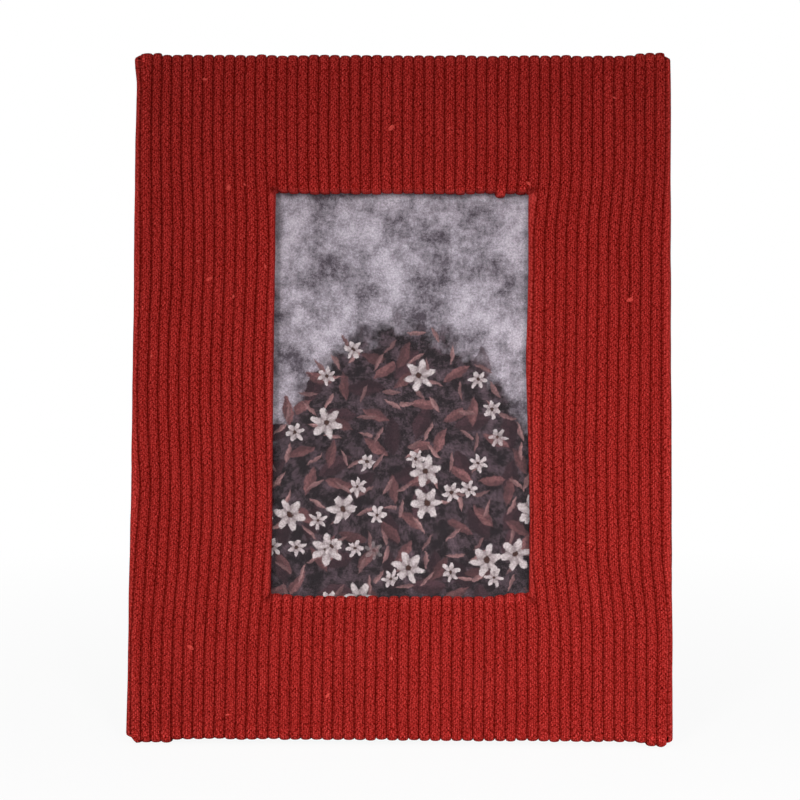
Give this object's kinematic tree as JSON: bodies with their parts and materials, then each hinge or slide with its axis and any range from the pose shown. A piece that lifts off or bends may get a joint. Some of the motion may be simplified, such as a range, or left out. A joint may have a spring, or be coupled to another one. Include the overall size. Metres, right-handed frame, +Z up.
{
  "type": "picture frame",
  "caption": "Upright table picture frame wrapped in ribbed corduroy, with a glazed window, a back board held by turn buttons, a fold-out easel strut and a hanging ring.",
  "frame": {"origin": "on the table, in the middle of the footprint of the standing frame", "axes": "+Z up, +Y backwards from the window to the strut, +X to the right as seen from the front"},
  "size_m": [0.18, 0.0806, 0.2268],
  "materials": {
    "corduroy": "wide-wale cotton corduroy, matt pile",
    "fibreboard": "raw medium-density fibreboard",
    "black_board": "fibreboard faced with black paper",
    "lining_card": "matt lining card",
    "grey_card": "grey board",
    "print_paper": "printed photo paper",
    "glass": "clear float glass",
    "zinc_steel": "zinc plated",
    "brass_plate": "brass plated"
  },
  "bodies": {
    "frame": {"corduroy_cover": "corduroy", "top_rail": "fibreboard", "bottom_rail": "fibreboard", "left_rail": "fibreboard", "right_rail": "fibreboard", "corner_vnail_1": "zinc_steel", "corner_vnail_2": "zinc_steel", "corner_vnail_3": "zinc_steel", "corner_vnail_4": "zinc_steel", "corner_vnail_5": "zinc_steel", "corner_vnail_6": "zinc_steel", "corner_vnail_7": "zinc_steel", "corner_vnail_8": "zinc_steel", "glass_pane": "glass", "photo_print": "print_paper", "filler_card": "grey_card", "backboard": "black_board", "rear_lining": "lining_card", "turn_button_screw_1": "zinc_steel", "turn_button_screw_2": "zinc_steel", "turn_button_screw_3": "zinc_steel", "turn_button_screw_4": "zinc_steel", "board_leaf": "zinc_steel", "hinge_pin": "zinc_steel", "board_rivet_1": "zinc_steel", "board_rivet_2": "zinc_steel", "hanger_strap": "zinc_steel", "hanger_screw": "zinc_steel"},
    "strut": {"easel_strut": "black_board", "strut_leaf": "zinc_steel", "strut_rivet_1": "zinc_steel", "strut_rivet_2": "zinc_steel"},
    "button_1": {"turn_button_1": "brass_plate"},
    "button_2": {"turn_button_2": "brass_plate"},
    "button_3": {"turn_button_3": "brass_plate"},
    "button_4": {"turn_button_4": "brass_plate"},
    "ring": {"hanger_ring": "zinc_steel"}
  },
  "joints": [
    {"name": "easel_hinge", "type": "hinge", "parent": "frame", "child": "strut", "pos_m": [0, 0.01451, 0.17081], "axis": [1, 0, 0], "range_deg": [-20, 0]},
    {"name": "turn_button_1_turn", "type": "hinge", "parent": "frame", "child": "button_1", "pos_m": [-0.058, 0.00909, 0.15562], "axis": [0, 0.9763, -0.2164], "continuous": true},
    {"name": "turn_button_2_turn", "type": "hinge", "parent": "frame", "child": "button_2", "pos_m": [-0.058, -0.01039, 0.06775], "axis": [0, 0.9763, -0.2164], "continuous": true},
    {"name": "turn_button_3_turn", "type": "hinge", "parent": "frame", "child": "button_3", "pos_m": [0.058, 0.00909, 0.15562], "axis": [0, 0.9763, -0.2164], "continuous": true},
    {"name": "turn_button_4_turn", "type": "hinge", "parent": "frame", "child": "button_4", "pos_m": [0.058, -0.01039, 0.06775], "axis": [0, 0.9763, -0.2164], "continuous": true},
    {"name": "hanger_ring_swing", "type": "hinge", "parent": "frame", "child": "ring", "pos_m": [0, 0.02143, 0.20205], "axis": [1, 0, 0], "range_deg": [-15, 170]}
  ]
}
